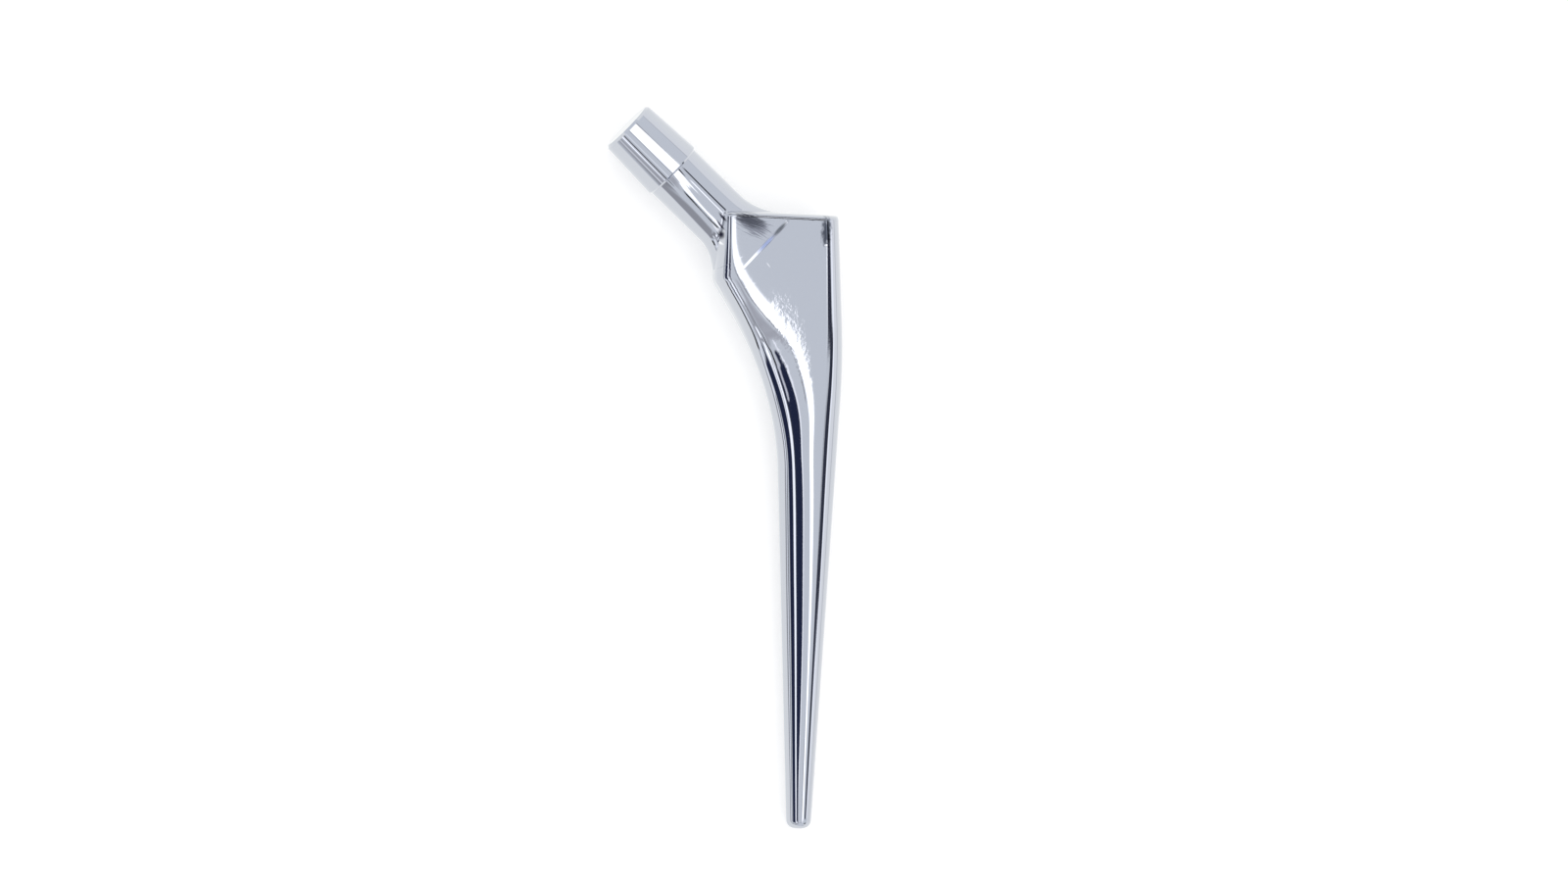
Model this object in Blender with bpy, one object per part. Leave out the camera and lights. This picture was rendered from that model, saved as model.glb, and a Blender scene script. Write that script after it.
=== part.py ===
"""Femoral stem of a hip implant: one forged and polished metal piece, lying on its back face.

It is shaped upright in its own frame, in millimetres: the shaft runs up +Y from the tip at the
origin, +X is lateral, -X is medial (the side that the neck leans to) and +Z is the front face.
It is then laid down on the flat of its back face, in metres, with +Z up.

The body is a loft. Each ring lies in a plane that holds the Z axis, so front and back are the
same, and the planes fan round from square to the shaft to square to the neck. The height of the
surface over a point of the middle plane is the larger of the body's and the neck's, with a small
fillet where they meet.
"""

import math

import bmesh
import bpy
import numpy as np
from mathutils import Matrix

NODE = "femoral_stem"

# Shaft: half widths at the tip, growing by these slopes to each side
TIP_MEDIAL = 2.80
TIP_LATERAL = 2.48
MEDIAL_SLOPE = 0.0484
LATERAL_SLOPE = 0.0463
TIP_ROUNDING = 1.8
TIP_HALF_THICKNESS = 2.8
SHOULDER_HALF_THICKNESS = 7.1

# Medial side: the shaft bends out into the calcar slope, which ends at an upright wall
CALCAR_BEND_Y = 96.2
CALCAR_BEND_LENGTH = 17.5
CALCAR_SLOPE = 0.622
MEDIAL_WALL_X = -22.0
CALCAR_CORNER_LENGTH = 0.9

# Lateral side: it leans in again above a soft knee
KNEE_Y = 102.5
KNEE_LENGTH = 9.0
KNEE_SLOPE = -0.062

# Shoulder
SHOULDER_Y = 134.5
SHOULDER_SLOPE = 0.013
SHOULDER_CORNER = 0.8

# Ridge down each face, between its flat lateral part and its crowned medial part, which falls
# away. Each pair is (height on the shaft, value).
RIDGE_X = (
    (0, 0.3),
    (60, 0.25),
    (80, -0.4),
    (95.4, -1.4),
    (101.7, -3.1),
    (106, -5.0),
    (110.2, -8.4),
    (116.5, -14.2),
    (120.3, -16.9),
    (123.7, -18.5),
    (134, -19.9),
)
RIDGE_SOFTNESS = (
    (0, 0.22),
    (70, 0.3),
    (87, 0.4),
    (96, 0.65),
    (103, 1.0),
    (109, 1.3),
    (115, 0.9),
    (121, 0.6),
    (134, 0.3),
)
RIDGE_FALL = math.radians(12)
MEDIAL_CROWN_RADIUS = ((0, 7.5), (52, 10.5), (87, 14), (102, 21), (134, 22))

# Rounded edges: how far in they reach from each wall, and how square their section is.
MEDIAL_EDGE_REACH = ((0, 2.2), (60, 3.0), (104, 3.4), (121, 1.7))
MEDIAL_EDGE_SQUARENESS = ((0, 2.3), (60, 2.6), (104, 3.0), (121, 4.2))
LATERAL_EDGE_REACH = ((0, 2.6), (60, 4.6), (88, 5.6), (112, 4.8), (130, 4.2))
LATERAL_EDGE_SQUARENESS = 2.3
TOP_EDGE_REACH = 1.5
TOP_EDGE_SQUARENESS = 2.6

# Neck and 12/14 head taper
NECK_SHAFT_ANGLE = math.radians(132.2)
AXES_MEET = (0.0, 114.3)
NECK_RADIUS = 6.6
NECK_ROOT_HALF_THICKNESS = 5.5
NECK_FLATTENS_BY = 22.0
NECK_LOWER_FILLET = 4.3
NECK_UPPER_FILLET = 5.4
NECK_BODY_FILLET = 0.7
NECK_FADES_FROM = 12.5
NECK_FADE_LENGTH = 7.5
TAPER_START = 42.6
TAPER_LENGTH = 13.7
TAPER_RADIUS = 7.0
TAPER_HALF_ANGLE = math.radians(2.85)
TAPER_STEP = 0.4
END_CHAMFER = 0.6

# Engraved line across the face, square to the neck: how far along the neck axis it crosses
LINE_AT = 17.6
LINE_FROM = -5.8
LINE_TO = 8.6
LINE_WIDTH = 0.65
LINE_DEPTH = 0.25

# Blind hole in the shoulder for the tool that drives the stem in
SOCKET_X = -2.5
SOCKET_RADIUS = 3.25
SOCKET_DEPTH = 9.0
SOCKET_CHAMFER = 0.5

# Mesh
RING_POINTS = 29
TIP_RINGS = 6
SHAFT_RINGS = 34
FAN_RINGS = 48
NECK_RINGS = 5
FAN_START_Y = 108.0
FAN_END = 32.0
MEDIAL_WALL_TOP = 121.8
SHOULDER_TOP_END = -4.0
DENSE = 1500
CORNER_PULL = 0.12
SHARPEST_TURN = 0.1
SOCKET_SIDES = 32
FILLET_BLEND = 1.0
SLOPE_STEP = 0.05
RIDGE_SLOPE_STEP = 4.0
MM = 0.001

NECK_LEAN = math.pi - NECK_SHAFT_ANGLE
NECK_ALONG = np.array([-math.sin(NECK_LEAN), math.cos(NECK_LEAN)])
NECK_ACROSS = np.array([math.cos(NECK_LEAN), math.sin(NECK_LEAN)])
FACE_SLOPE = (SHOULDER_HALF_THICKNESS - TIP_HALF_THICKNESS) / SHOULDER_Y


def ramp(t, reach):
    """0 below -reach and t above reach, joined by a parabola: a bend of the given half length."""
    t = np.asarray(t, float)
    return np.where(t < -reach, 0.0, np.where(t > reach, t, (t + reach) ** 2 / (4 * reach)))


def ease(t):
    t = np.clip(t, 0, 1)
    return t * t * (3 - 2 * t)


def along_shaft(y, marks):
    """A smooth curve through marks, pairs of (height on the shaft, value)."""
    heights, values = np.array(marks, float).T
    slopes = np.gradient(values, heights)
    i = np.clip(np.searchsorted(heights, y) - 1, 0, len(heights) - 2)
    step = heights[i + 1] - heights[i]
    t = np.clip((y - heights[i]) / step, 0, 1)
    eased = ease(t)
    ends = values[i] * (1 - eased) + values[i + 1] * eased
    leaving, arriving = t * (1 - t) ** 2, t * t * (t - 1)
    return ends + step * (slopes[i] * leaving + slopes[i + 1] * arriving)


def edge(depth, reach, squareness):
    """The rise of a rounded edge, from 0 at the wall to 1 at the given depth behind it."""
    left = 1 - np.clip(depth / reach, 0, 1)
    return (1 - left**squareness) ** (1 / squareness)


def tip_inset(y):
    """How far the rounded tip has drawn in at this height."""
    left = np.clip(TIP_ROUNDING - y, 0, TIP_ROUNDING)
    return TIP_ROUNDING - np.sqrt(TIP_ROUNDING**2 - left**2)


def medial_x(y):
    bend = (CALCAR_SLOPE - MEDIAL_SLOPE) * ramp(y - CALCAR_BEND_Y, CALCAR_BEND_LENGTH)
    sloping = -(TIP_MEDIAL + MEDIAL_SLOPE * y + bend)
    reach_at_bend = TIP_MEDIAL + MEDIAL_SLOPE * CALCAR_BEND_Y
    corner_y = CALCAR_BEND_Y + (-MEDIAL_WALL_X - reach_at_bend) / CALCAR_SLOPE
    upright = CALCAR_SLOPE * ramp(y - corner_y, CALCAR_CORNER_LENGTH)
    return sloping + upright + tip_inset(y)


def lateral_x(y):
    bend = (KNEE_SLOPE - LATERAL_SLOPE) * ramp(y - KNEE_Y, KNEE_LENGTH)
    return TIP_LATERAL + LATERAL_SLOPE * y + bend - tip_inset(y)


def ridge_x(y):
    return along_shaft(y, RIDGE_X)


def shoulder_y(x):
    return SHOULDER_Y - SHOULDER_SLOPE * np.asarray(x, float)


def wall_cosine(wall, y, step=SLOPE_STEP):
    """Turns a sideways distance to a sloping wall or ridge into the distance square to it."""
    slope = (wall(y + step) - wall(y - step)) / (2 * step)
    slope = np.where(y < 2 * TIP_ROUNDING, 0, slope)
    return 1 / np.sqrt(1 + slope**2)


def body_height(x, y):
    """Half the body's thickness over a point of the middle plane."""
    from_medial = (x - medial_x(y)) * wall_cosine(medial_x, y)
    from_lateral = (lateral_x(y) - x) * wall_cosine(lateral_x, y)
    thickness = TIP_HALF_THICKNESS + FACE_SLOPE * y - tip_inset(y)
    past = (ridge_x(y) - x) * wall_cosine(ridge_x, y, RIDGE_SLOPE_STEP)
    fall = math.tan(RIDGE_FALL) * (past + np.hypot(past, along_shaft(y, RIDGE_SOFTNESS))) / 2
    fall = fall + np.maximum(past, 0) ** 2 / (2 * along_shaft(y, MEDIAL_CROWN_RADIUS))
    half_width = (lateral_x(y) - medial_x(y)) / 2
    medial_reach = np.minimum(along_shaft(y, MEDIAL_EDGE_REACH), half_width)
    lateral_reach = np.minimum(along_shaft(y, LATERAL_EDGE_REACH), half_width)
    height = thickness - fall
    height = height * edge(from_medial, medial_reach, along_shaft(y, MEDIAL_EDGE_SQUARENESS))
    height = height * edge(from_lateral, lateral_reach, LATERAL_EDGE_SQUARENESS)
    return height * edge(shoulder_y(x) - y, TOP_EDGE_REACH, TOP_EDGE_SQUARENESS)


def neck_place(x, y):
    """Distances along and across the neck axis, from where it meets the shaft axis."""
    x = x - AXES_MEET[0]
    y = y - AXES_MEET[1]
    return x * NECK_ALONG[0] + y * NECK_ALONG[1], x * NECK_ACROSS[0] + y * NECK_ACROSS[1]


def from_neck(along, across):
    return (
        AXES_MEET[0] + along * NECK_ALONG[0] + across * NECK_ACROSS[0],
        AXES_MEET[1] + along * NECK_ALONG[1] + across * NECK_ACROSS[1],
    )


def neck_lower(along):
    """The neck's reach below its axis, which turns down into the medial wall at its root."""
    root = (MEDIAL_WALL_X - AXES_MEET[0] + NECK_RADIUS * NECK_ACROSS[0]) / NECK_ALONG[0]
    return NECK_RADIUS + math.tan(NECK_LEAN) * ramp(root - along, NECK_LOWER_FILLET)


def neck_upper(along):
    """The neck's reach above its axis, which turns out along the top of the shoulder."""
    outward = np.array([1, -SHOULDER_SLOPE])
    slope = -(outward @ NECK_ACROSS) / (outward @ NECK_ALONG)
    x, y = from_neck(0, NECK_RADIUS)
    root = (shoulder_y(x) - y) / (NECK_ALONG[1] + SHOULDER_SLOPE * NECK_ALONG[0])
    return NECK_RADIUS + slope * ramp(root - along, NECK_UPPER_FILLET)


def neck_height(x, y):
    along, across = neck_place(x, y)
    reach = np.where(across < 0, neck_lower(along), neck_upper(along))
    flatten = ease((TAPER_START - along) / (TAPER_START - NECK_FLATTENS_BY))
    front = NECK_RADIUS + (NECK_ROOT_HALF_THICKNESS - NECK_RADIUS) * flatten
    fade = ease((along - NECK_FADES_FROM) / NECK_FADE_LENGTH)
    return front * fade * np.sqrt(np.clip(1 - (across / reach) ** 2, 0, 1))


def surface_height(x, y):
    """The larger of body and neck, with a fillet where they cross."""
    body = body_height(x, y)
    neck = neck_height(x, y)
    share = np.clip(0.5 + (body - neck) / (2 * NECK_BODY_FILLET), 0, 1)
    fillet = NECK_BODY_FILLET * share * (1 - share)
    thinner = np.minimum(body, neck) / FILLET_BLEND
    return neck + (body - neck) * share + fillet * np.minimum(1, thinner)


def joined(*stretches):
    return np.concatenate([np.column_stack(np.broadcast_arrays(x, y)) for x, y in stretches])


def medial_path():
    """The outline from the start of the fan up the medial wall and out under the neck."""
    y = np.linspace(FAN_START_Y, MEDIAL_WALL_TOP, 400)
    along = np.linspace(neck_place(MEDIAL_WALL_X, MEDIAL_WALL_TOP)[0], FAN_END, 400)[1:]
    return joined((medial_x(y), y), from_neck(along, -neck_lower(along)))


def lateral_path():
    """The outline from the start of the fan up to the shoulder, along it and out over the neck."""
    turn = np.linspace(0, math.pi / 2, 40)
    corner_x = lateral_x(SHOULDER_Y) - SHOULDER_CORNER
    corner_y = shoulder_y(corner_x) - SHOULDER_CORNER
    y = np.linspace(FAN_START_Y, corner_y, 400)[:-1]
    arc = corner_x + SHOULDER_CORNER * np.cos(turn), corner_y + SHOULDER_CORNER * np.sin(turn)
    x = np.linspace(corner_x, SHOULDER_TOP_END, 400)[1:]
    top_end = neck_place(SHOULDER_TOP_END, shoulder_y(SHOULDER_TOP_END))[0]
    along = np.linspace(top_end, FAN_END, 400)[1:]
    return joined((lateral_x(y), y), arc, (x, shoulder_y(x)), from_neck(along, neck_upper(along)))


def travel(path, pull=0.0):
    """How far along a path each point lies, from 0 to 1, with turns counted as extra length."""
    steps = np.diff(path, axis=0)
    length = np.hypot(steps[:, 0], steps[:, 1])
    moving = length > 1e-6
    heading = np.unwrap(np.arctan2(steps[moving, 1], steps[moving, 0]))
    share = length / length.sum()
    turns = np.abs(np.diff(heading, prepend=heading[0]))
    share[moving] += pull * np.minimum(SHARPEST_TURN, turns)
    return np.concatenate([[0], np.cumsum(share)]) / share.sum()


def stations():
    """The two ends of each ring in the middle plane, from the tip to the top of the neck."""
    tip = TIP_ROUNDING * (1 - np.cos(np.linspace(0, math.pi / 2, TIP_RINGS)))
    y = np.concatenate([tip[:-1], np.linspace(TIP_ROUNDING, FAN_START_Y, SHAFT_RINGS)[:-1]])
    shaft = np.column_stack([medial_x(y), y, lateral_x(y), y])
    medial, lateral = medial_path(), lateral_path()
    evenly = np.linspace(0, 1, FAN_RINGS)
    reached = np.interp(evenly, travel(lateral, CORNER_PULL), travel(lateral))
    fan = [
        np.interp(reached, travel(path), path[:, axis])
        for path in (medial, lateral)
        for axis in (0, 1)
    ]
    along = np.linspace(FAN_END, TAPER_START, NECK_RINGS)[1:]
    neck = [*from_neck(along, -neck_lower(along)), *from_neck(along, neck_upper(along))]
    return np.concatenate([shaft, np.column_stack(fan), np.column_stack(neck)])


def half_ring(start_x, start_y, end_x, end_y):
    """Points over the front of the body, from the medial end of a ring to the lateral end."""
    t = np.linspace(0, 1, DENSE)
    across = t**4 / (t**4 + (1 - t) ** 4)
    start, span = np.array([start_x, start_y]), np.array([end_x - start_x, end_y - start_y])
    width = math.hypot(*span)
    places = start + across[:, None] * span
    height = surface_height(places[:, 0], places[:, 1])
    profile = np.column_stack([across * width, height])
    profile = np.concatenate([[[0, 0]], profile, [[width, 0]]])
    evenly = np.linspace(0, 1, RING_POINTS)
    reached = travel(profile, CORNER_PULL / math.pi)
    along = np.interp(evenly, reached, profile[:, 0]) / width
    z = np.interp(evenly, reached, profile[:, 1])
    return np.column_stack([start + along[:, None] * span, z])


def round_ring(along, radius):
    turn = np.linspace(-math.pi / 2, math.pi / 2, RING_POINTS)
    x, y = from_neck(along, radius * np.sin(turn))
    return np.column_stack([x, y, radius * np.cos(turn)])


def full_ring(front):
    """The front half of a ring and its mirror image behind the middle plane."""
    back = front[-2:0:-1] * (1, 1, -1)
    return np.concatenate([front, back])


def rings():
    """Every ring of the loft: body and neck, then the step, the taper and the end chamfer."""
    fronts = [half_ring(*ends) for ends in stations()]
    end = TAPER_START + TAPER_STEP + TAPER_LENGTH
    end_radius = TAPER_RADIUS - TAPER_LENGTH * math.tan(TAPER_HALF_ANGLE)
    chamfer_radius = end_radius + END_CHAMFER * math.tan(TAPER_HALF_ANGLE)
    fronts.append(round_ring(TAPER_START + TAPER_STEP, TAPER_RADIUS))
    fronts.append(round_ring(end - END_CHAMFER, chamfer_radius))
    fronts.append(round_ring(end, chamfer_radius - END_CHAMFER))
    for front in fronts:
        front[[0, -1], 2] = 0
    return [full_ring(front) for front in fronts]


def loft(name, loops):
    """A closed mesh through rings of equal count, capped at both ends."""
    shape = bmesh.new()
    rows = [[shape.verts.new(point * MM) for point in loop] for loop in loops]
    count = len(rows[0])
    for low, high in zip(rows, rows[1:]):
        for i in range(count):
            j = (i + 1) % count
            shape.faces.new((low[i], low[j], high[j], high[i]))
    shape.faces.new(rows[0][::-1])
    shape.faces.new(rows[-1])
    bmesh.ops.recalc_face_normals(shape, faces=shape.faces)
    mesh = bpy.data.meshes.new(name)
    shape.to_mesh(mesh)
    shape.free()
    piece = bpy.data.objects.new(name, mesh)
    bpy.context.collection.objects.link(piece)
    return piece


def polished_metal():
    metal = bpy.data.materials.new("polished_metal")
    metal.use_nodes = True
    shader = metal.node_tree.nodes["Principled BSDF"]
    shader.inputs["Base Color"].default_value = (0.57, 0.59, 0.65, 1)
    shader.inputs["Metallic"].default_value = 1
    shader.inputs["Roughness"].default_value = 0.03
    return metal


def line_cutter():
    """A bar as wide as the engraved line, sunk into the front face and square to the neck."""
    x, y = from_neck(LINE_AT, np.array([LINE_FROM, LINE_TO]))
    surface = TIP_HALF_THICKNESS + FACE_SLOPE * y
    side = NECK_ALONG * LINE_WIDTH / 2
    loops = []
    for px, py, top in zip(x, y, surface):
        floor, roof = top - LINE_DEPTH, top + 1
        corners = [(-1, floor), (1, floor), (1, roof), (-1, roof)]
        loops.append([np.array([px + s * side[0], py + s * side[1], z]) for s, z in corners])
    return loft("line_cutter", loops)


def socket_cutter():
    """A countersunk blind hole, square to the shaft, down from the shoulder."""
    top = float(shoulder_y(SOCKET_X))
    wide = SOCKET_RADIUS + SOCKET_CHAMFER
    outline = [
        (top - SOCKET_DEPTH - 1, 0.4),
        (top - SOCKET_DEPTH, SOCKET_RADIUS),
        (top - SOCKET_CHAMFER, SOCKET_RADIUS),
        (top, wide),
        (top + 1, wide + 1),
    ]
    turn = np.linspace(0, 2 * math.pi, SOCKET_SIDES, endpoint=False)
    around = np.column_stack([np.cos(turn), np.zeros_like(turn), np.sin(turn)])
    return loft("socket_cutter", [around * r + np.array([SOCKET_X, y, 0]) for y, r in outline])


def cut(body, cutter):
    cutter.hide_render = True
    cutter.display_type = "WIRE"
    cutter.parent = body
    tool = body.modifiers.new(cutter.name, "BOOLEAN")
    tool.operation = "DIFFERENCE"
    tool.object = cutter


def lay_down(body):
    """Turns the body onto the flat of its back face, centred over the origin."""
    pitch = math.atan(FACE_SLOPE)
    turned = Matrix.Rotation(pitch, 4, "X")
    corners = np.array([turned @ vertex.co for vertex in body.data.vertices])
    low, high = corners.min(axis=0), corners.max(axis=0)
    body.rotation_euler = (pitch, 0, 0)
    body.location = (-(low[0] + high[0]) / 2, -(low[1] + high[1]) / 2, -low[2])


def clear_scene():
    for thing in list(bpy.data.objects):
        bpy.data.objects.remove(thing)


def main():
    clear_scene()
    body = loft(NODE, rings())
    body.data.materials.append(polished_metal())
    body.data.shade_smooth()
    body.data.set_sharp_from_angle(angle=math.radians(35))
    cut(body, line_cutter())
    cut(body, socket_cutter())
    lay_down(body)


main()
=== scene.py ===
"""Studio picture of the hip stem: one polished piece lying on a white floor, seen from above.

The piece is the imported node's loft with finer facets, so that the mirror finish reflects cleanly,
and its medial edge is rounder under the neck, by up to 0.6 mm. It is shaped in the stem's own
frame, in millimetres, with +Y up the shaft from the tip, +X lateral and +Z out of the front face,
and is then laid down where the node lies.
"""

import math

import bmesh
import bpy
import numpy as np
from mathutils import Matrix, Vector

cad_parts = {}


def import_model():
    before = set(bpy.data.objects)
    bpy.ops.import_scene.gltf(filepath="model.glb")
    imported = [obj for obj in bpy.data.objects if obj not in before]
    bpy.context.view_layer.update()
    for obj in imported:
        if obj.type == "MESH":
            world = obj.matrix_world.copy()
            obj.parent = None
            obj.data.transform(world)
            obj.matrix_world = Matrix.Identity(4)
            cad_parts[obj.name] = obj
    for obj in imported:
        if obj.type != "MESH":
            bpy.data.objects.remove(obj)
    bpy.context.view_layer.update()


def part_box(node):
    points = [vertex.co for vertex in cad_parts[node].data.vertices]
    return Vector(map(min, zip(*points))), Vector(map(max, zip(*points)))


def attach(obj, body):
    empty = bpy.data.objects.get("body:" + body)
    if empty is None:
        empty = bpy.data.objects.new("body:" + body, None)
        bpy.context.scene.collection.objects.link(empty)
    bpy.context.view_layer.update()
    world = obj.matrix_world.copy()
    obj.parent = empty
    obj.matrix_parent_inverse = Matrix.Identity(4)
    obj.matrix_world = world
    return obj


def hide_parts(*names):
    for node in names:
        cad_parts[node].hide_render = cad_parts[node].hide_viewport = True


NODE = "femoral_stem"

# Shaft: half widths at the tip, growing by these slopes to each side
TIP_MEDIAL = 2.80
TIP_LATERAL = 2.48
MEDIAL_SLOPE = 0.0484
LATERAL_SLOPE = 0.0463
TIP_ROUNDING = 1.8
TIP_HALF_THICKNESS = 2.8
SHOULDER_HALF_THICKNESS = 7.1

# Medial side: the shaft bends out into the calcar slope, which ends at an upright wall
CALCAR_BEND_Y = 96.2
CALCAR_BEND_LENGTH = 17.5
CALCAR_SLOPE = 0.622
MEDIAL_WALL_X = -22.0
CALCAR_CORNER_LENGTH = 0.9

# Lateral side: it leans in again above a soft knee
KNEE_Y = 102.5
KNEE_LENGTH = 9.0
KNEE_SLOPE = -0.062

# Shoulder
SHOULDER_Y = 134.5
SHOULDER_SLOPE = 0.013
SHOULDER_CORNER = 0.8

# Ridge down each face, between its flat lateral part and its crowned medial part, which falls
# away. Each pair is (height on the shaft, value).
RIDGE_X = (
    (0, 0.3),
    (60, 0.25),
    (80, -0.4),
    (95.4, -1.4),
    (101.7, -3.1),
    (106, -5.0),
    (110.2, -8.4),
    (116.5, -14.2),
    (120.3, -16.9),
    (123.7, -18.5),
    (134, -19.9),
)
RIDGE_SOFTNESS = (
    (0, 0.22),
    (70, 0.3),
    (87, 0.4),
    (96, 0.65),
    (103, 1.0),
    (109, 1.3),
    (115, 0.9),
    (121, 0.6),
    (134, 0.3),
)
RIDGE_FALL = math.radians(12)
MEDIAL_CROWN_RADIUS = ((0, 7.5), (52, 10.5), (87, 14), (102, 21), (134, 22))

# Rounded edges: how far in they reach from each wall, and how square their section is. At 121 the
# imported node's medial edge has a reach of 1.7 and a squareness of 4.2.
MEDIAL_EDGE_REACH = ((0, 2.2), (60, 3.0), (104, 3.4), (121, 3.4))
MEDIAL_EDGE_SQUARENESS = ((0, 2.3), (60, 2.6), (104, 3.0), (121, 3.0))
LATERAL_EDGE_REACH = ((0, 2.6), (60, 4.6), (88, 5.6), (112, 4.8), (130, 4.2))
LATERAL_EDGE_SQUARENESS = 2.3
TOP_EDGE_REACH = 1.5
TOP_EDGE_SQUARENESS = 2.6

# Neck and 12/14 head taper
NECK_SHAFT_ANGLE = math.radians(132.2)
AXES_MEET = (0.0, 114.3)
NECK_RADIUS = 6.6
NECK_ROOT_HALF_THICKNESS = 5.5
NECK_FLATTENS_BY = 22.0
NECK_LOWER_FILLET = 4.3
NECK_UPPER_FILLET = 5.4
NECK_BODY_FILLET = 0.7
NECK_FADES_FROM = 12.5
NECK_FADE_LENGTH = 7.5
TAPER_START = 42.6
TAPER_LENGTH = 13.7
TAPER_RADIUS = 7.0
TAPER_HALF_ANGLE = math.radians(2.85)
TAPER_STEP = 0.4
END_CHAMFER = 0.6

# Engraved line across the face, square to the neck: how far along the neck axis it crosses
LINE_AT = 17.6
LINE_FROM = -5.8
LINE_TO = 8.6
LINE_WIDTH = 0.65
LINE_DEPTH = 0.25

# Blind hole in the shoulder for the tool that drives the stem in
SOCKET_X = -2.5
SOCKET_RADIUS = 3.25
SOCKET_DEPTH = 9.0
SOCKET_CHAMFER = 0.5
SOCKET_POINT_DEPTH = 1.0
SOCKET_POINT_RADIUS = 0.4

# Mesh
CUTTER_STANDS_OUT = 1.0
PATH_POINTS = 400
CORNER_POINTS = 40
RING_POINTS = 113
TIP_RINGS = 14
SHAFT_RINGS = 160
FAN_RINGS = 190
NECK_RINGS = 20
FAN_START_Y = 108.0
FAN_END = 32.0
MEDIAL_WALL_TOP = 121.8
SHOULDER_TOP_END = -4.0
PROFILE_POINTS = 3000
PROFILE_CROWDING = 4
CORNER_PULL = 0.12
SHARPEST_TURN = 0.1
SOCKET_SIDES = 96
FILLET_BLEND = 1.0
SLOPE_STEP = 0.05
RIDGE_SLOPE_STEP = 4.0
SHARP_ANGLE = math.radians(35)
MM = 0.001

# Camera, in the stem's frame and in millimetres, but for the near limit in metres
CAMERA_LENS = 105.0
CAMERA_SENSOR = 36.0
CAMERA_NEAR = 0.01
CAMERA_TARGET = (-5.39, 84.76, 0.0)
CAMERA_DISTANCE = 1001.3
CAMERA_SIDE = math.radians(12)
CAMERA_ROLL = math.radians(1.35)

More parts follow.
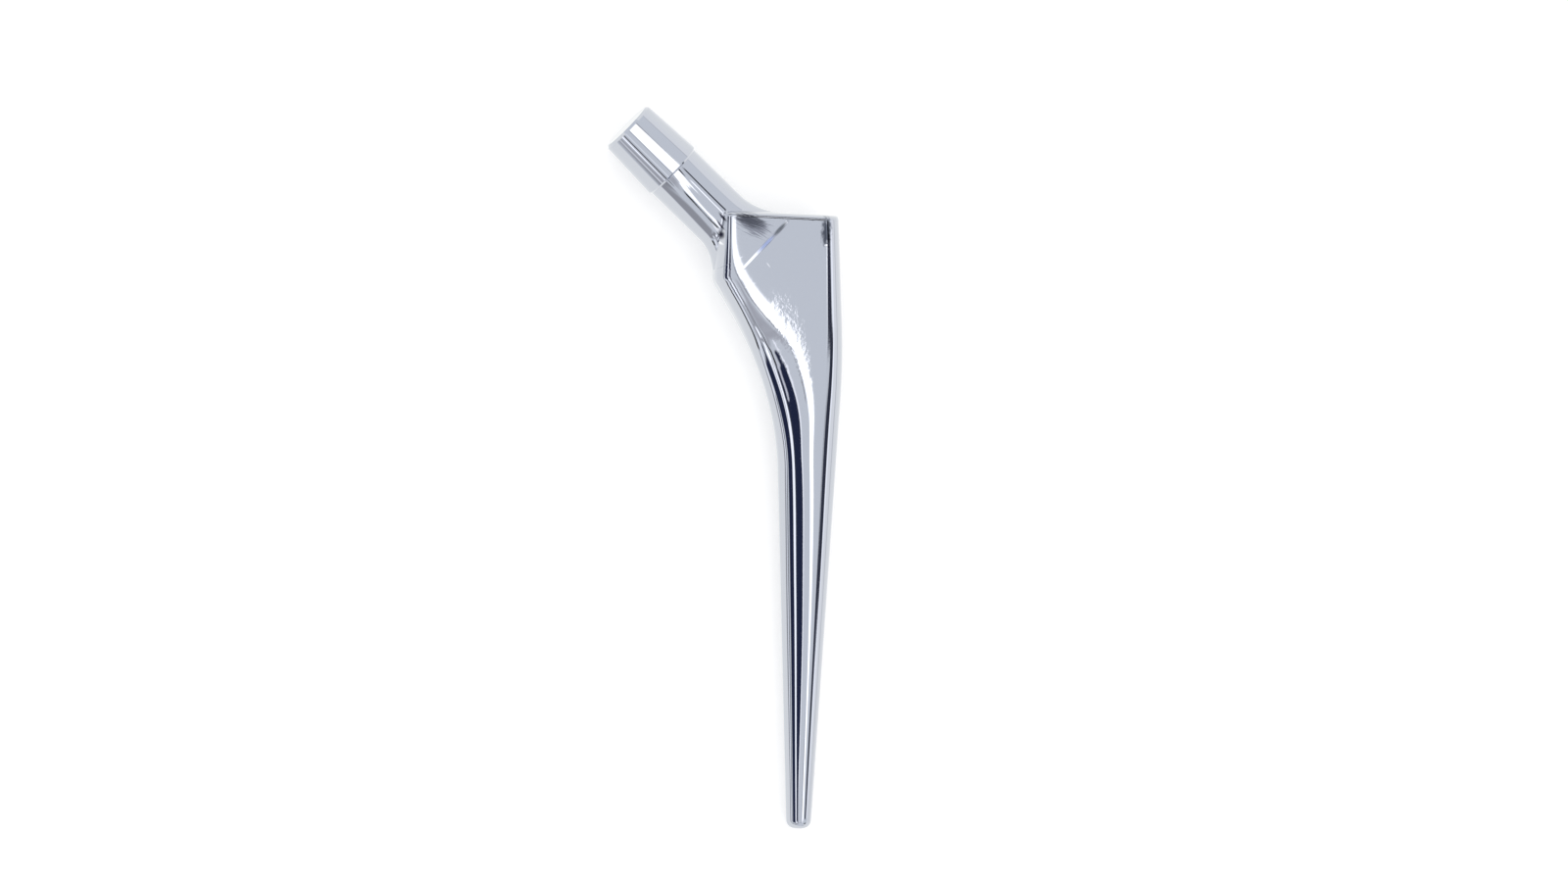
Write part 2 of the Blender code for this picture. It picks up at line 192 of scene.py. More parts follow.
# Studio round the stem, hung from the back to the front. A place in it is in degrees towards
# lateral and degrees towards proximal from straight above. A card has a name, a middle, a half
# size, a turn, the width of its soft edge and a colour; a strip has a name, the points it runs
# through, a half width, the width of its soft edge and a colour.
WALLS = (0.86, 0.89, 0.93)
STUDIO = (
    ("card", "back wall", (-46, 58), (26, 24), 0, 16, (0.337, 0.34, 0.36)),
    ("card", "back wall lateral", (72, -52), (34, 22), 0, 18, (0.337, 0.34, 0.36)),
    ("strip", "back lamp", ((-66, 58), (-20, 64)), 4, 3, (1.238, 1.25, 1.288)),
    ("strip", "back frame", ((-64, 44), (-30, 50)), 5, 4, (0.079, 0.08, 0.082)),
    ("strip", "back lamp lateral", ((98, -40), (64, -52), (25, -62)), 4, 3, (1.238, 1.25, 1.288)),
    ("strip", "back frame lateral", ((98, -28), (66, -38), (40, -46)), 5, 4, (0.079, 0.08, 0.082)),
    ("card", "medial wall", (-132, 1.5), (42.5, 60), 4, 3, (1.07, 1.08, 1.08)),
    ("strip", "medial frame", ((-86, -6), (-88, -33)), 2.2, 2, (0.396, 0.4, 0.412)),
    ("card", "low frame", (-95, -40.3), (17, 4.3), 0, 2.5, (0.079, 0.08, 0.082)),
    ("strip", "medial tube", ((-81, -8), (-79, -26), (-74, -35), (-66, -41.5)), 2.2, 2,
     (1.337, 1.35, 1.391)),
    ("strip", "medial post", ((-78, -4), (-77.5, -19)), 1.6, 2, (0.198, 0.2, 0.206)),
    ("card", "low band", (-61, -47.5), (23, 4), 15, 4, (0.396, 0.4, 0.424)),
    ("card", "low band end", (-58, -54), (24, 4), 6, 4, (0.446, 0.45, 0.477)),
    ("card", "low lamp", (-60, -45.5), (4, 2), 10, 3, (1.089, 1.1, 1.133)),
    ("card", "window", (-62.5, -16), (10.2, 15.5), -8, 3.5, (0.022, 0.03, 0.07)),
    ("strip", "window foot", ((-59, -30), (-55.5, -38)), 3, 3, (0.04, 0.05, 0.09)),
    ("strip", "white wall", ((-47.5, -3), (-46.5, -30)), 4.5, 4, (1.584, 1.6, 1.648)),
    ("strip", "wall joint", ((-49, -9), (-47, -22), (-43, -29)), 1, 2, (0.495, 0.5, 0.515)),
    ("card", "frame", (-34.5, -10), (6.6, 9.5), 0, 1.5, (0.022, 0.03, 0.07)),
    ("strip", "frame foot", ((-32.5, -17), (-28.8, -23)), 1.6, 1.5, (0.022, 0.03, 0.07)),
    ("strip", "frame glass", ((-37.5, -13), (-34.2, -21.5)), 1.1, 1.2, (0.842, 0.85, 0.918)),
    ("strip", "frame side", ((-41, -6), (-41, -16), (-36.5, -23)), 1.4, 1.2, (0.05, 0.06, 0.09)),
    ("strip", "white edge", ((-27.5, -3), (-27.5, -15), (-26, -22), (-23, -28)), 0.9, 1.2,
     (1.386, 1.4, 1.442)),
    ("strip", "outer shade", ((-57, -39), (-51, -42.5), (-42, -39), (-38, -36),
     (-46, -33.5)), 1.8, 2, (0.515, 0.52, 0.551)),
    ("strip", "inner shade", ((-29, -31), (-24, -34), (-18, -28.5), (-14, -24.5),
     (-14, -20)), 2.2, 4, (0.594, 0.6, 0.636)),
    ("strip", "curved lamp", ((-44.5, -29), (-42.5, -34.2)), 2.7, 1.2, (1.881, 1.9, 1.957)),
    ("strip", "curved lamp foot", ((-46, -41.4), (-41, -40.6)), 1.2, 1.2, (1.782, 1.8, 1.854)),
    ("strip", "curved frame", ((-36.5, -23), (-33.5, -27), (-34, -33), (-31, -38)), 1.5, 1,
     (0.05, 0.05, 0.052)),
    ("card", "low frame spot", (-15.3, -34), (1.6, 3), -42, 1.5, (0.079, 0.08, 0.082)),
    ("card", "softbox", (0.2, -4.2), (10.1, 5.6), 0, 1, (1.95, 1.95, 1.95)),
    ("card", "softbox middle", (2.6, -9.5), (3.4, 5), -38, 1, (1.95, 1.95, 1.95)),
    ("card", "softbox high", (6, 7), (4.8, 17), -45, 1, (1.95, 1.95, 1.95)),
    ("card", "softbox low", (-4.2, -18.5), (3.2, 13), -23, 1, (1.95, 1.95, 1.95)),
    ("card", "softbox side", (-6.5, -8.5), (3.4, 4.5), 20, 1, (1.95, 1.95, 1.95)),
    ("strip", "softbox rim", ((-15, -7.5), (-11.5, -12), (-8.2, -19), (-8.4, -22)), 0.6, 0.8,
     (0.297, 0.3, 0.309)),
    ("strip", "top flag", ((12.2, 2.5), (12.8, 10.5)), 1.6, 0.8, (0.05, 0.05, 0.052)),
    ("strip", "top flag end", ((15, 20), (20, 55)), 3, 2, (0.297, 0.3, 0.309)),
    ("card", "lamp spot", (18.3, 0.4), (1.4, 2.3), 40, 1, (1.95, 1.95, 1.95)),
    ("card", "upper shade", (80, 42), (19, 9), 8, 6, (0.584, 0.59, 0.625)),
    ("card", "lateral wall", (120, 0), (58.5, 90), -2, 3, (1.07, 1.08, 1.08)),
    ("card", "lateral lamp", (55, -2.5), (6.6, 5.5), 0, 4, (1.386, 1.4, 1.442)),
    ("card", "horizon", (91.5, 0), (7.5, 20), -5, 6, (0.752, 0.76, 0.783)),
    ("card", "lateral flag low", (38, -7), (7, 2.8), 0, 3, (0.045, 0.05, 0.075)),
    ("card", "lateral flag", (45, -3.3), (8.7, 2.7), 0, 1.5, (0.045, 0.05, 0.075)),
    ("card", "lateral flag high", (33, -0.9), (11, 1.4), 0, 1, (0.045, 0.05, 0.075)),
    ("card", "lateral flag top", (28.5, 9.5), (2.4, 7.2), 35, 1.8, (0.06, 0.065, 0.08)),
)
FAR_AWAY = 360.0

# Floor: half its size in metres, its colour, the light it adds where the camera sees it, and the
# colour that the metal mirrors
FLOOR_REACH = 6.0
FLOOR_WHITE = (0.9, 0.9, 0.9)
FLOOR_LIFT = 0.3
FLOOR_MIRRORED = (1.09, 1.1, 1.08)

# Metal. A mark is an oval on the front face: a name, a middle, a half size and a turn in the
# stem's frame, how its noise is stretched, how ragged it is and its colour. It is full out to
# MARK_CORE of its half size and fades from there, and it fades out with depth, so that none of
# it is on the back. Apart from the scratch, the marks are painted light and shade in the metal's
# colour: painted dark reflections, painted shadow and shade by the neck, painted highlights, and
# the engraved line's painted reflections.
METAL = (0.57, 0.59, 0.65)
ROUGHNESS = 0.04
MARK_HEIGHT = 7.0
MARK_CORE = 0.3
MARKS = (
    # Painted dark reflection by the neck root, where the face would mirror a dark part of the
    # studio
    ("polish shadow tail", (-14.8, 131.4), (4.6, 2.6), -25, (1.5, 9), 2.0, (0.28, 0.29, 0.34)),
    ("polish shadow", (-15.6, 132.4), (4.6, 1.7), -14, (1.2, 9), 2.4, (0.1, 0.105, 0.13)),
    ("corner shadow", (1.5, 130.6), (1.5, 4.2), 0, (2, 4), 1.2, (0.09, 0.1, 0.13)),
    # Painted glint near the shoulder corner
    ("corner nick", (1.5, 127.6), (0.55, 0.3), 10, (1, 1), 0.4, (0.95, 0.95, 1.0)),
    # Painted highlights and painted shade along the crease where the neck meets the body
    ("crease shine", (-22.6, 130.7), (2.4, 0.5), -53, (2, 2), 0.3, (0.95, 0.95, 1.0)),
    ("crease stroke", (-21.8, 131.3), (2.0, 0.33), -50, (2, 2), 0.3, (0.03, 0.03, 0.05)),
    ("crease corner", (-21.4, 133.0), (1.7, 0.42), -50, (2, 2), 0.4, (0.03, 0.03, 0.05)),
    ("crease end", (-21.5, 129.2), (0.9, 1.3), 10, (2, 2), 0.4, (0.02, 0.02, 0.04)),
    ("crease foot", (-21.7, 127.6), (1.2, 0.36), -42, (2, 2), 0.3, (0.95, 0.95, 1.0)),
    ("scratch", (-11.2, 122.9), (0.9, 0.2), -50, (1, 1), 0.3, (0.85, 0.86, 0.9)),
    # Painted reflections in the engraved line: bluish in the middle, dark towards its upper end
    ("line middle", (-11.7, 127.6), (4.0, 0.6), 47.8, (1, 1), 0.0, (0.2, 0.24, 0.38)),
    ("line upper end", (-8.9, 130.7), (3.5, 0.6), 47.8, (1, 1), 0.0, (0.09, 0.1, 0.12)),
)

# Grain: a bump in millimetres over the whole stem, and a rougher one beside the ridge, in an oval
# that is given as a mark is, without a name and a colour
RAGGED_RIDGE = (-5.2, 107.5), (5.0, 14.0), 18, (2, 4), 0.6
GRAIN_SCALE = 1.3
GRAIN_DETAIL = 3.0
FACE_GRAIN = 0.0012
RIDGE_GRAIN = 0.03

NECK_LEAN = math.pi - NECK_SHAFT_ANGLE
NECK_ALONG = np.array([-math.sin(NECK_LEAN), math.cos(NECK_LEAN)])
NECK_ACROSS = np.array([math.cos(NECK_LEAN), math.sin(NECK_LEAN)])
FACE_SLOPE = (SHOULDER_HALF_THICKNESS - TIP_HALF_THICKNESS) / SHOULDER_Y


def ramp(t, reach):
    """0 below -reach and t above reach, joined by a parabola: a bend of the given half length."""
    t = np.asarray(t, float)
    return np.where(t < -reach, 0.0, np.where(t > reach, t, (t + reach) ** 2 / (4 * reach)))


def ease(t):
    """0 to 1 as t goes from 0 to 1, level at both ends."""
    t = np.clip(t, 0, 1)
    return t * t * (3 - 2 * t)


def along_shaft(y, marks):
    """A smooth curve through marks, pairs of (height on the shaft, value)."""
    heights, values = np.array(marks, float).T
    slopes = np.gradient(values, heights)
    i = np.clip(np.searchsorted(heights, y) - 1, 0, len(heights) - 2)
    step = heights[i + 1] - heights[i]
    t = np.clip((y - heights[i]) / step, 0, 1)
    eased = ease(t)
    ends = values[i] * (1 - eased) + values[i + 1] * eased
    leaving, arriving = t * (1 - t) ** 2, t * t * (t - 1)
    return ends + step * (slopes[i] * leaving + slopes[i + 1] * arriving)


def edge(depth, reach, squareness):
    """The rise of a rounded edge, from 0 at the wall to 1 at the given depth behind it."""
    left = 1 - np.clip(depth / reach, 0, 1)
    return (1 - left**squareness) ** (1 / squareness)


def tip_inset(y):
    """How far the rounded tip has drawn in at this height."""
    left = np.clip(TIP_ROUNDING - y, 0, TIP_ROUNDING)
    return TIP_ROUNDING - np.sqrt(TIP_ROUNDING**2 - left**2)


def medial_x(y):
    bend = (CALCAR_SLOPE - MEDIAL_SLOPE) * ramp(y - CALCAR_BEND_Y, CALCAR_BEND_LENGTH)
    sloping = -(TIP_MEDIAL + MEDIAL_SLOPE * y + bend)
    reach_at_bend = TIP_MEDIAL + MEDIAL_SLOPE * CALCAR_BEND_Y
    corner_y = CALCAR_BEND_Y + (-MEDIAL_WALL_X - reach_at_bend) / CALCAR_SLOPE
    upright = CALCAR_SLOPE * ramp(y - corner_y, CALCAR_CORNER_LENGTH)
    return sloping + upright + tip_inset(y)


def lateral_x(y):
    bend = (KNEE_SLOPE - LATERAL_SLOPE) * ramp(y - KNEE_Y, KNEE_LENGTH)
    return TIP_LATERAL + LATERAL_SLOPE * y + bend - tip_inset(y)


def ridge_x(y):
    return along_shaft(y, RIDGE_X)


def shoulder_y(x):
    return SHOULDER_Y - SHOULDER_SLOPE * np.asarray(x, float)


def wall_cosine(wall, y, step=SLOPE_STEP):
    """Turns a sideways distance to a sloping wall or ridge into the distance square to it."""
    slope = (wall(y + step) - wall(y - step)) / (2 * step)
    slope = np.where(y < 2 * TIP_ROUNDING, 0, slope)
    return 1 / np.sqrt(1 + slope**2)


def body_height(x, y):
    """Half the body's thickness over a point of the middle plane."""
    from_medial = (x - medial_x(y)) * wall_cosine(medial_x, y)
    from_lateral = (lateral_x(y) - x) * wall_cosine(lateral_x, y)
    thickness = TIP_HALF_THICKNESS + FACE_SLOPE * y - tip_inset(y)
    past = (ridge_x(y) - x) * wall_cosine(ridge_x, y, RIDGE_SLOPE_STEP)
    fall = math.tan(RIDGE_FALL) * (past + np.hypot(past, along_shaft(y, RIDGE_SOFTNESS))) / 2
    fall = fall + np.maximum(past, 0) ** 2 / (2 * along_shaft(y, MEDIAL_CROWN_RADIUS))
    half_width = (lateral_x(y) - medial_x(y)) / 2
    medial_reach = np.minimum(along_shaft(y, MEDIAL_EDGE_REACH), half_width)
    lateral_reach = np.minimum(along_shaft(y, LATERAL_EDGE_REACH), half_width)
    height = thickness - fall
    height = height * edge(from_medial, medial_reach, along_shaft(y, MEDIAL_EDGE_SQUARENESS))
    height = height * edge(from_lateral, lateral_reach, LATERAL_EDGE_SQUARENESS)
    return height * edge(shoulder_y(x) - y, TOP_EDGE_REACH, TOP_EDGE_SQUARENESS)


def neck_place(x, y):
    """Distances along and across the neck axis, from where it meets the shaft axis."""
    x = x - AXES_MEET[0]
    y = y - AXES_MEET[1]
    return x * NECK_ALONG[0] + y * NECK_ALONG[1], x * NECK_ACROSS[0] + y * NECK_ACROSS[1]


def from_neck(along, across):
    return (
        AXES_MEET[0] + along * NECK_ALONG[0] + across * NECK_ACROSS[0],
        AXES_MEET[1] + along * NECK_ALONG[1] + across * NECK_ACROSS[1],
    )


def neck_lower(along):
    """The neck's reach below its axis, which turns down into the medial wall at its root."""
    root = (MEDIAL_WALL_X - AXES_MEET[0] + NECK_RADIUS * NECK_ACROSS[0]) / NECK_ALONG[0]
    return NECK_RADIUS + math.tan(NECK_LEAN) * ramp(root - along, NECK_LOWER_FILLET)


def neck_upper(along):
    """The neck's reach above its axis, which turns out along the top of the shoulder."""
    outward = np.array([1, -SHOULDER_SLOPE])
    slope = -(outward @ NECK_ACROSS) / (outward @ NECK_ALONG)
    x, y = from_neck(0, NECK_RADIUS)
    root = (shoulder_y(x) - y) / (NECK_ALONG[1] + SHOULDER_SLOPE * NECK_ALONG[0])
    return NECK_RADIUS + slope * ramp(root - along, NECK_UPPER_FILLET)


def neck_height(x, y):
    along, across = neck_place(x, y)
    reach = np.where(across < 0, neck_lower(along), neck_upper(along))
    flatten = ease((TAPER_START - along) / (TAPER_START - NECK_FLATTENS_BY))
    front = NECK_RADIUS + (NECK_ROOT_HALF_THICKNESS - NECK_RADIUS) * flatten
    fade = ease((along - NECK_FADES_FROM) / NECK_FADE_LENGTH)
    return front * fade * np.sqrt(np.clip(1 - (across / reach) ** 2, 0, 1))


def surface_height(x, y):
    """The larger of body and neck, with a fillet where they cross."""
    body = body_height(x, y)
    neck = neck_height(x, y)
    share = np.clip(0.5 + (body - neck) / (2 * NECK_BODY_FILLET), 0, 1)
    fillet = NECK_BODY_FILLET * share * (1 - share)
    thinner = np.minimum(body, neck) / FILLET_BLEND
    return neck + (body - neck) * share + fillet * np.minimum(1, thinner)


def joined(*stretches):
    """One path through stretches, pairs of x and y."""
    return np.concatenate([np.column_stack(np.broadcast_arrays(x, y)) for x, y in stretches])


def medial_path():
    """The outline from the start of the fan up the medial wall and out under the neck."""
    y = np.linspace(FAN_START_Y, MEDIAL_WALL_TOP, PATH_POINTS)
    wall_end = neck_place(MEDIAL_WALL_X, MEDIAL_WALL_TOP)[0]
    along = np.linspace(wall_end, FAN_END, PATH_POINTS)[1:]
    return joined((medial_x(y), y), from_neck(along, -neck_lower(along)))


def lateral_path():
    """The outline from the start of the fan up to the shoulder, along it and out over the neck."""
    turn = np.linspace(0, math.pi / 2, CORNER_POINTS)
    corner_x = lateral_x(SHOULDER_Y) - SHOULDER_CORNER
    corner_y = shoulder_y(corner_x) - SHOULDER_CORNER
    y = np.linspace(FAN_START_Y, corner_y, PATH_POINTS)[:-1]
    arc = corner_x + SHOULDER_CORNER * np.cos(turn), corner_y + SHOULDER_CORNER * np.sin(turn)
    x = np.linspace(corner_x, SHOULDER_TOP_END, PATH_POINTS)[1:]
    top_end = neck_place(SHOULDER_TOP_END, shoulder_y(SHOULDER_TOP_END))[0]
    along = np.linspace(top_end, FAN_END, PATH_POINTS)[1:]
    return joined((lateral_x(y), y), arc, (x, shoulder_y(x)), from_neck(along, neck_upper(along)))


def travel(path, pull=0.0):
    """How far along a path each point lies, from 0 to 1, with turns counted as extra length."""
    steps = np.diff(path, axis=0)
    length = np.hypot(steps[:, 0], steps[:, 1])
    moving = length > 1e-6
    heading = np.unwrap(np.arctan2(steps[moving, 1], steps[moving, 0]))
    share = length / length.sum()
    turns = np.abs(np.diff(heading, prepend=heading[0]))
    share[moving] += pull * np.minimum(SHARPEST_TURN, turns)
    return np.concatenate([[0], np.cumsum(share)]) / share.sum()


def stations():
    """The two ends of each ring in the middle plane, from the tip to the top of the neck."""
    tip = TIP_ROUNDING * (1 - np.cos(np.linspace(0, math.pi / 2, TIP_RINGS)))
    y = np.concatenate([tip[:-1], np.linspace(TIP_ROUNDING, FAN_START_Y, SHAFT_RINGS)[:-1]])
    shaft = np.column_stack([medial_x(y), y, lateral_x(y), y])
    medial, lateral = medial_path(), lateral_path()
    evenly = np.linspace(0, 1, FAN_RINGS)
    reached = np.interp(evenly, travel(lateral, CORNER_PULL), travel(lateral))
    fan = [
        np.interp(reached, travel(path), path[:, axis])
        for path in (medial, lateral)
        for axis in (0, 1)
    ]
    along = np.linspace(FAN_END, TAPER_START, NECK_RINGS)[1:]
    neck = [*from_neck(along, -neck_lower(along)), *from_neck(along, neck_upper(along))]
    return np.concatenate([shaft, np.column_stack(fan), np.column_stack(neck)])


def half_ring(start_x, start_y, end_x, end_y):
    """Points over the front of the body, from the medial end of a ring to the lateral end."""
    t = np.linspace(0, 1, PROFILE_POINTS)
    across = t**PROFILE_CROWDING / (t**PROFILE_CROWDING + (1 - t) ** PROFILE_CROWDING)
    start, span = np.array([start_x, start_y]), np.array([end_x - start_x, end_y - start_y])
    width = math.hypot(*span)
    places = start + across[:, None] * span
    height = surface_height(places[:, 0], places[:, 1])
    profile = np.column_stack([across * width, height])
    profile = np.concatenate([[[0, 0]], profile, [[width, 0]]])
    evenly = np.linspace(0, 1, RING_POINTS)
    reached = travel(profile, CORNER_PULL / math.pi)
    along = np.interp(evenly, reached, profile[:, 0]) / width
    z = np.interp(evenly, reached, profile[:, 1])
    return np.column_stack([start + along[:, None] * span, z])


def round_ring(along, radius):
    turn = np.linspace(-math.pi / 2, math.pi / 2, RING_POINTS)
    x, y = from_neck(along, radius * np.sin(turn))
    return np.column_stack([x, y, radius * np.cos(turn)])


def full_ring(front):
    """The front half of a ring and its mirror image behind the middle plane."""
    back = front[-2:0:-1] * (1, 1, -1)
    return np.concatenate([front, back])


def rings():
    """Every ring of the loft: body and neck, then the step, the taper and the end chamfer."""
    fronts = [half_ring(*ends) for ends in stations()]
    end = TAPER_START + TAPER_STEP + TAPER_LENGTH
    end_radius = TAPER_RADIUS - TAPER_LENGTH * math.tan(TAPER_HALF_ANGLE)
    chamfer_radius = end_radius + END_CHAMFER * math.tan(TAPER_HALF_ANGLE)
    fronts.append(round_ring(TAPER_START + TAPER_STEP, TAPER_RADIUS))
    fronts.append(round_ring(end - END_CHAMFER, chamfer_radius))
    fronts.append(round_ring(end, chamfer_radius - END_CHAMFER))
    for front in fronts:
        front[[0, -1], 2] = 0
    return [full_ring(front) for front in fronts]


def loft(name, loops):
    """A closed mesh through rings of equal count, capped at both ends."""
    shape = bmesh.new()
    rows = [[shape.verts.new(point * MM) for point in loop] for loop in loops]
    count = len(rows[0])
    for low, high in zip(rows, rows[1:]):
        for i in range(count):
            j = (i + 1) % count
            shape.faces.new((low[i], low[j], high[j], high[i]))
    shape.faces.new(rows[0][::-1])
    shape.faces.new(rows[-1])
    bmesh.ops.recalc_face_normals(shape, faces=shape.faces)
    mesh = bpy.data.meshes.new(name)
    shape.to_mesh(mesh)
    shape.free()
    piece = bpy.data.objects.new(name, mesh)
    bpy.context.collection.objects.link(piece)
    return piece


def line_cutter():
    """A bar as wide as the engraved line, sunk into the front face and square to the neck."""
    x, y = from_neck(LINE_AT, np.array([LINE_FROM, LINE_TO]))
    surface = TIP_HALF_THICKNESS + FACE_SLOPE * y
    side = NECK_ALONG * LINE_WIDTH / 2
    loops = []
    for px, py, top in zip(x, y, surface):
        floor, roof = top - LINE_DEPTH, top + CUTTER_STANDS_OUT
        corners = [(-1, floor), (1, floor), (1, roof), (-1, roof)]
        loops.append([np.array([px + s * side[0], py + s * side[1], z]) for s, z in corners])
    return loft("line_cutter", loops)


def socket_cutter():
    """A countersunk blind hole, square to the shaft, down from the shoulder."""
    top = float(shoulder_y(SOCKET_X))
    wide = SOCKET_RADIUS + SOCKET_CHAMFER
    outline = [
        (top - SOCKET_DEPTH - SOCKET_POINT_DEPTH, SOCKET_POINT_RADIUS),
        (top - SOCKET_DEPTH, SOCKET_RADIUS),
        (top - SOCKET_CHAMFER, SOCKET_RADIUS),
        (top, wide),
        (top + CUTTER_STANDS_OUT, wide + CUTTER_STANDS_OUT),
    ]
    turn = np.linspace(0, 2 * math.pi, SOCKET_SIDES, endpoint=False)
    around = np.column_stack([np.cos(turn), np.zeros_like(turn), np.sin(turn)])
    return loft("socket_cutter", [around * r + np.array([SOCKET_X, y, 0]) for y, r in outline])


def add_node(tree, kind, inputs=(), **settings):
    """Adds a node, sets it up and fills its inputs, each a plain value or another node's output."""
    node = tree.nodes.new(kind)
    for name, value in settings.items():
        setattr(node, name, value)
    for key, value in inputs:
        if isinstance(value, bpy.types.NodeSocket):
            tree.links.new(value, node.inputs[key])
        else:
            node.inputs[key].default_value = value
    return node


def math_node(tree, operation, *values):
    return add_node(tree, "ShaderNodeMath", enumerate(values), operation=operation).outputs[0]


def vector_node(tree, operation, *values):
    node = add_node(tree, "ShaderNodeVectorMath", enumerate(values), operation=operation)
    return node.outputs["Value" if operation in ("DISTANCE", "DOT_PRODUCT") else "Vector"]


def mixed_colour(tree, share, behind, colour):
    """The colour behind, with a share of an even colour over it."""
    factor, first, second, result = 0, 6, 7, 2
    mix = add_node(tree, "ShaderNodeMix", [
        (factor, share), (first, behind), (second, (*colour, 1))], data_type="RGBA")
    return mix.outputs[result]


def stem_millimetres(tree, place):
    """The point being shaded, in the stem's own frame in millimetres."""
    turn, shift = place.to_euler(), place.translation
    return add_node(tree, "ShaderNodeMapping", [
        ("Vector", add_node(tree, "ShaderNodeTexCoord").outputs["Object"]), ("Location", shift),
        ("Rotation", turn), ("Scale", (MM, MM, MM))], vector_type="TEXTURE").outputs[0]


def ramped(tree, value, start, end):
    """0 to 1, eased, as the value goes from start to end."""
    return add_node(tree, "ShaderNodeMapRange", [(0, value), (1, start), (2, end)],
                    interpolation_type="SMOOTHSTEP").outputs[0]


def grain(tree, where, scale):
    """Fractal noise with its features about 1 / scale across, in the units of where."""
    return add_node(tree, "ShaderNodeTexNoise", [
        ("Vector", where), ("Scale", scale), ("Detail", GRAIN_DETAIL)]).outputs[0]


def patch(tree, where, middle, reach, turn, streaks, raggedness):
    """How far a point of the front face is inside a ragged oval mark, 0 to 1."""
    own = add_node(tree, "ShaderNodeMapping", [
        ("Vector", where), ("Location", (*middle, MARK_HEIGHT)),
        ("Rotation", (0, 0, math.radians(turn))), ("Scale", (*reach, MARK_HEIGHT))],
        vector_type="TEXTURE").outputs[0]
    stretched = vector_node(tree, "MULTIPLY", own, (*streaks, 0))
    away = add_node(tree, "ShaderNodeVectorMath", [(0, own)], operation="LENGTH").outputs["Value"]
    tear = math_node(tree, "MULTIPLY", grain(tree, stretched, 1.0), raggedness)
    usual_tear = raggedness / 2
    torn = math_node(tree, "ADD", away, tear)
    return ramped(tree, torn, usual_tear + 1, usual_tear + MARK_CORE)


def polished_metal(place):
    """Mirror-polished steel with painted shade, highlights and reflections in oval marks, and its
    grain.
    """
    metal = bpy.data.materials.new("polished_metal")
    metal.use_nodes = True
    tree = metal.node_tree
    shader = tree.nodes["Principled BSDF"]
    colour = (*METAL, 1)
    shader.inputs["Base Color"].default_value = colour
    shader.inputs["Metallic"].default_value = 1
    shader.inputs["Roughness"].default_value = ROUGHNESS
    where = stem_millimetres(tree, place)
    for _, *measures, shade in MARKS:
        colour = mixed_colour(tree, patch(tree, where, *measures), colour, shade)
    tree.links.new(colour, shader.inputs["Base Color"])
    ragged = patch(tree, where, *RAGGED_RIDGE)
    depth = math_node(tree, "MULTIPLY_ADD", ragged, RIDGE_GRAIN - FACE_GRAIN, FACE_GRAIN)
    height = math_node(tree, "MULTIPLY", grain(tree, where, GRAIN_SCALE), depth)
    bump = add_node(tree, "ShaderNodeBump", [("Distance", MM), ("Height", height)])
    tree.links.new(bump.outputs[0], shader.inputs["Normal"])
    return metal


def add_camera(place):
    """The photograph's view: upright over the shaft, a little round to the medial side."""
    side, roll = CAMERA_SIDE, CAMERA_ROLL
    right = Vector((math.cos(side), 0, math.sin(side)))
    up = Vector((0, 1, 0))
    back = right.cross(up)
    picture_x = right * math.cos(roll) + up * math.sin(roll)
    picture_y = up * math.cos(roll) - right * math.sin(roll)
    at = (Vector(CAMERA_TARGET) + back * CAMERA_DISTANCE) * MM
    turn = Matrix((picture_x, picture_y, back)).transposed().to_4x4()
    lens = bpy.data.cameras.new("camera")
    lens.lens = CAMERA_LENS
    lens.sensor_width = CAMERA_SENSOR
    lens.clip_start = CAMERA_NEAR
    camera = bpy.data.objects.new("camera", lens)
    camera.matrix_world = place @ Matrix.Translation(at) @ turn
    bpy.context.scene.collection.objects.link(camera)
    bpy.context.scene.camera = camera


def add_floor():
    """A white sheet under the stem: it takes the stem's shadow, and the metal mirrors it plain."""
    mesh = bpy.data.meshes.new("floor")
    reach = FLOOR_REACH
    corners = [(-reach, -reach, 0), (reach, -reach, 0), (reach, reach, 0), (-reach, reach, 0)]
    mesh.from_pydata(corners, [], [(0, 1, 2, 3)])
    floor = bpy.data.objects.new("floor", mesh)
    bpy.context.scene.collection.objects.link(floor)
    white = bpy.data.materials.new("white_floor")
    white.use_nodes = True
    tree = white.node_tree
    tree.nodes.clear()
    path = add_node(tree, "ShaderNodeLightPath")
    sheet = add_node(tree, "ShaderNodeBsdfDiffuse", [("Color", (*FLOOR_WHITE, 1))])
    lift_share = math_node(tree, "MULTIPLY", path.outputs["Is Camera Ray"], FLOOR_LIFT)
    lift = add_node(tree, "ShaderNodeEmission", [("Strength", lift_share)])
    seen = add_node(tree, "ShaderNodeAddShader", [(0, sheet.outputs[0]), (1, lift.outputs[0])])
    mirrored = add_node(tree, "ShaderNodeEmission", [("Color", (*FLOOR_MIRRORED, 1))])
    mixed = add_node(tree, "ShaderNodeMixShader", [
        (0, path.outputs["Is Glossy Ray"]), (1, seen.outputs[0]), (2, mirrored.outputs[0])])
    add_node(tree, "ShaderNodeOutputMaterial", [("Surface", mixed.outputs[0])])
    mesh.materials.append(white)


def studio_angles(tree):
    """Where a ray meets the studio: degrees towards lateral and degrees towards proximal."""
    ray = add_node(tree, "ShaderNodeTexCoord").outputs["Generated"]
    level = add_node(tree, "ShaderNodeMapping", [
        ("Vector", ray), ("Rotation", (math.atan(FACE_SLOPE), 0, 0))], vector_type="TEXTURE")
    parts = add_node(tree, "ShaderNodeSeparateXYZ", [(0, level.outputs[0])]).outputs
    lateral = math_node(tree, "ARCTAN2", parts["X"], parts["Z"])
    proximal = math_node(tree, "ARCSINE", parts["Y"])
    degree = math.degrees(1)
    angles = [(0, math_node(tree, "MULTIPLY", lateral, degree)),
              (1, math_node(tree, "MULTIPLY", proximal, degree))]
    return add_node(tree, "ShaderNodeCombineXYZ", angles).outputs[0]


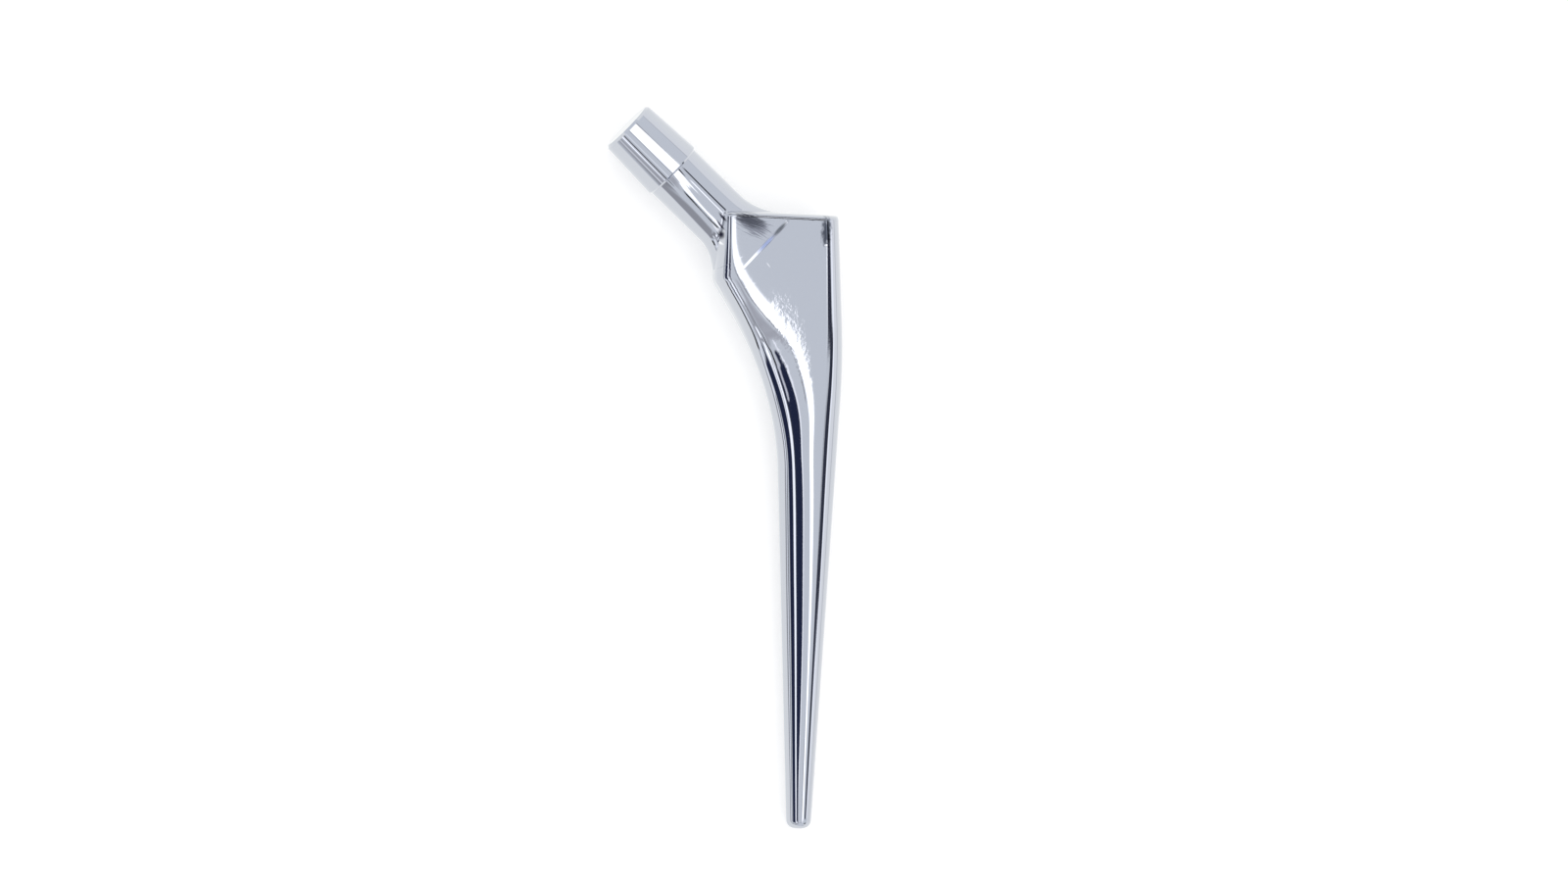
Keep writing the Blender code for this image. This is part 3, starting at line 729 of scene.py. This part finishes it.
def hang_card(tree, behind, angles, middle, half_size, turn, softness, colour):
    """Hangs one soft-edged rectangle of an even colour in front of what is there."""
    own = add_node(tree, "ShaderNodeMapping", [
        ("Vector", angles), ("Location", (*middle, 0)), ("Rotation", (0, 0, math.radians(turn)))],
        vector_type="TEXTURE")
    away = vector_node(tree, "ABSOLUTE", own.outputs[0])
    inside = vector_node(tree, "SUBTRACT", (*half_size, 0), away)
    blur = softness / 2
    from_min, from_max = 7, 8
    shown = add_node(tree, "ShaderNodeMapRange", [
        ("Vector", inside), (from_min, (-blur, -blur, -blur)), (from_max, (blur, blur, blur))],
        data_type="FLOAT_VECTOR", interpolation_type="SMOOTHSTEP")
    parts = add_node(tree, "ShaderNodeSeparateXYZ", [(0, shown.outputs["Vector"])]).outputs
    return mixed_colour(tree, math_node(tree, "MULTIPLY", parts["X"], parts["Y"]), behind, colour)


def hang_strip(tree, behind, angles, points, half_width, softness, colour):
    """Hangs a soft-edged band of an even colour along a line through the points."""
    away = FAR_AWAY
    for start, end in zip(points, points[1:]):
        run = Vector((*end, 0)) - Vector((*start, 0))
        from_start = vector_node(tree, "SUBTRACT", angles, (*start, 0))
        along = vector_node(tree, "DOT_PRODUCT", from_start, tuple(run / run.length_squared))
        reached = add_node(tree, "ShaderNodeClamp", [(0, along)]).outputs[0]
        nearest = add_node(tree, "ShaderNodeVectorMath", [
            (0, tuple(run)), ("Scale", reached)], operation="SCALE").outputs[0]
        away = math_node(tree, "MINIMUM", away, vector_node(tree, "DISTANCE", from_start, nearest))
    blur = softness / 2
    shown = ramped(tree, away, half_width + blur, half_width - blur)
    return mixed_colour(tree, shown, behind, colour)


def add_world():
    """The studio round the stem, which the metal mirrors, and plain white behind it."""
    world = bpy.data.worlds.new("studio")
    world.use_nodes = True
    tree = world.node_tree
    tree.nodes.clear()
    angles = studio_angles(tree)
    light = (*WALLS, 1)
    hang = {"card": hang_card, "strip": hang_strip}
    for kind, _, *measures in STUDIO:
        light = hang[kind](tree, light, angles, *measures)
    studio = add_node(tree, "ShaderNodeBackground", [("Color", light)])
    plain_white = add_node(tree, "ShaderNodeBackground", [("Color", (1, 1, 1, 1))])
    path = add_node(tree, "ShaderNodeLightPath")
    mixed = add_node(tree, "ShaderNodeMixShader", [
        (0, path.outputs["Is Glossy Ray"]), (1, plain_white.outputs[0]), (2, studio.outputs[0])])
    add_node(tree, "ShaderNodeOutputWorld", [("Surface", mixed.outputs[0])])
    bpy.context.scene.world = world


def cut(piece, cutter):
    """Takes the cutter's shape out of the piece for good."""
    tool = piece.modifiers.new(cutter.name, "BOOLEAN")
    tool.operation = "DIFFERENCE"
    tool.object = cutter
    with bpy.context.temp_override(object=piece, active_object=piece):
        bpy.ops.object.modifier_apply(modifier=tool.name)
    bpy.data.objects.remove(cutter)


def lay_down(piece):
    """Lays the stem on the flat of its back face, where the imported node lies. Gives the turn and
    shift from the stem's frame."""
    turned = Matrix.Rotation(math.atan(FACE_SLOPE), 4, "X")
    piece.data.transform(turned)
    low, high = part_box(NODE)
    points = np.array([vertex.co for vertex in piece.data.vertices])
    shift = (low + high) / 2 - Vector((points.min(axis=0) + points.max(axis=0)) / 2)
    shift.z = low.z - points[:, 2].min()
    piece.data.transform(Matrix.Translation(shift))
    return Matrix.Translation(shift) @ turned


def main():
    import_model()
    piece = loft("stem", rings())
    piece.data.shade_smooth()
    cut(piece, line_cutter())
    cut(piece, socket_cutter())
    piece.data.set_sharp_from_angle(angle=SHARP_ANGLE)
    place = lay_down(piece)
    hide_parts(NODE)
    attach(piece, "root")
    piece.data.materials.append(polished_metal(place))
    add_camera(place)
    add_floor()
    add_world()
    bpy.context.scene.view_settings.view_transform = "Standard"


main()
